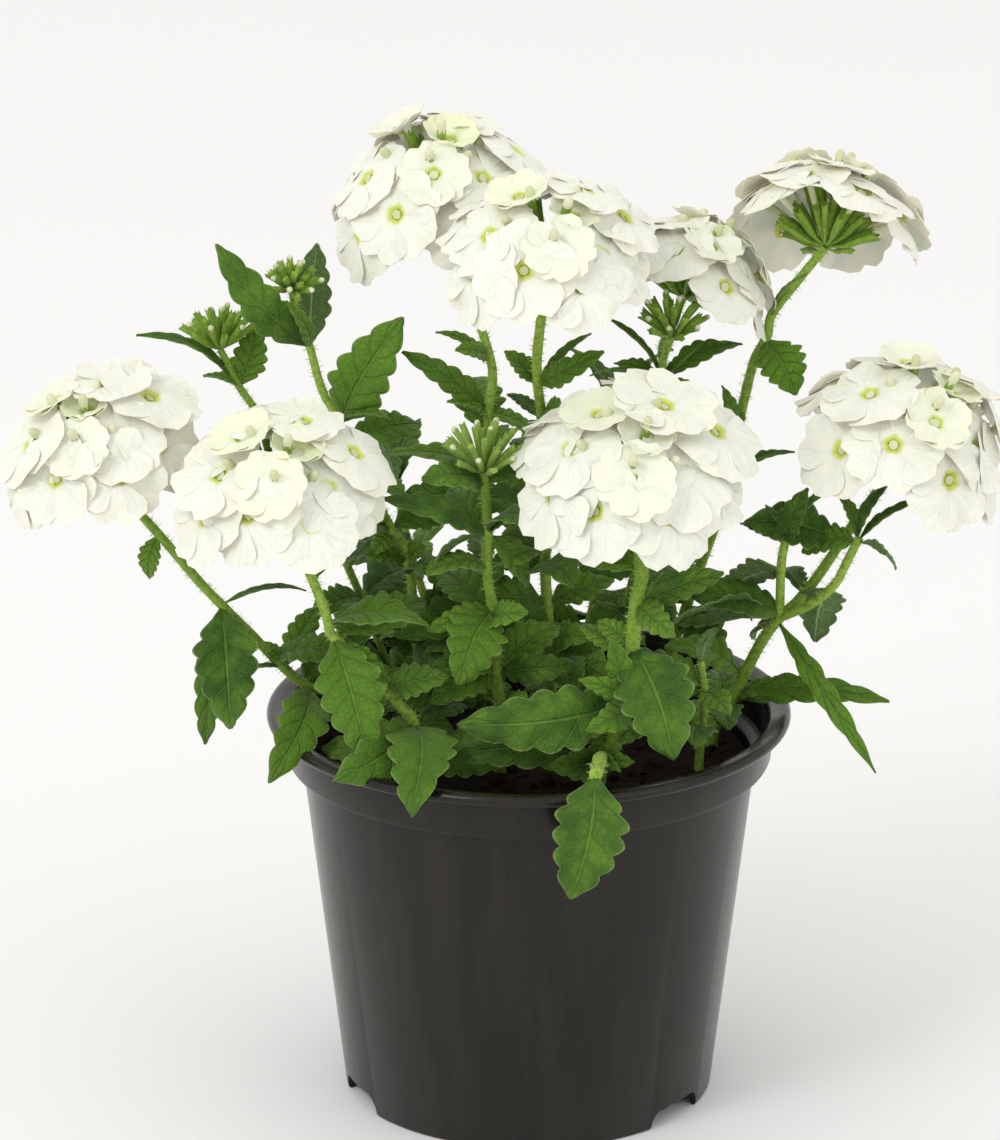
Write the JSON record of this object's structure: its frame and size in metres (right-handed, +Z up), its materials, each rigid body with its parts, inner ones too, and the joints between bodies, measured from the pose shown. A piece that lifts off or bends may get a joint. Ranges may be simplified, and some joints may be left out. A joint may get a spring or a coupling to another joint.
{
  "type": "potted verbena",
  "caption": "Trailing verbena with domed white flower heads and toothed green leaves, growing in a round black nursery pot.",
  "frame": {"origin": "middle of the pot's underside, on the small flat boss under the floor, level with the foot of the skirt", "axes": "+Z up along the pot's axis, the plant's best side towards -Y, +X to the right of that side"},
  "size_m": [0.2515, 0.1505, 0.2469],
  "materials": {
    "pot": "semi-gloss moulded black plastic with faint upright streaks and a glossier lip",
    "soil": "matt crumbly dark peat",
    "leaf": "matt hairy green leaves and lime green stems",
    "petal": "soft matt white petals with a yellow-green throat"
  },
  "bodies": {
    "root": {"pot": "pot", "soil": "soil", "shoot_front_left": "leaf", "shoot_far_left": "leaf", "shoot_left_bud": "leaf", "shoot_far_left_bud": "leaf", "shoot_middle_bud": "leaf", "shoot_back_left": "leaf", "shoot_back_middle": "leaf", "shoot_front": "leaf", "shoot_right": "leaf", "shoot_back_right": "leaf", "shoot_behind_middle": "leaf", "shoot_right_low": "leaf", "shoot_rear_left": "leaf", "shoot_rear_right": "leaf", "flowers_front_left": "petal", "flowers_far_left": "petal", "flowers_back_left": "petal", "flowers_back_middle": "petal", "flowers_front": "petal", "flowers_right": "petal", "flowers_back_right": "petal", "flowers_behind_middle": "petal"}
  },
  "joints": []
}
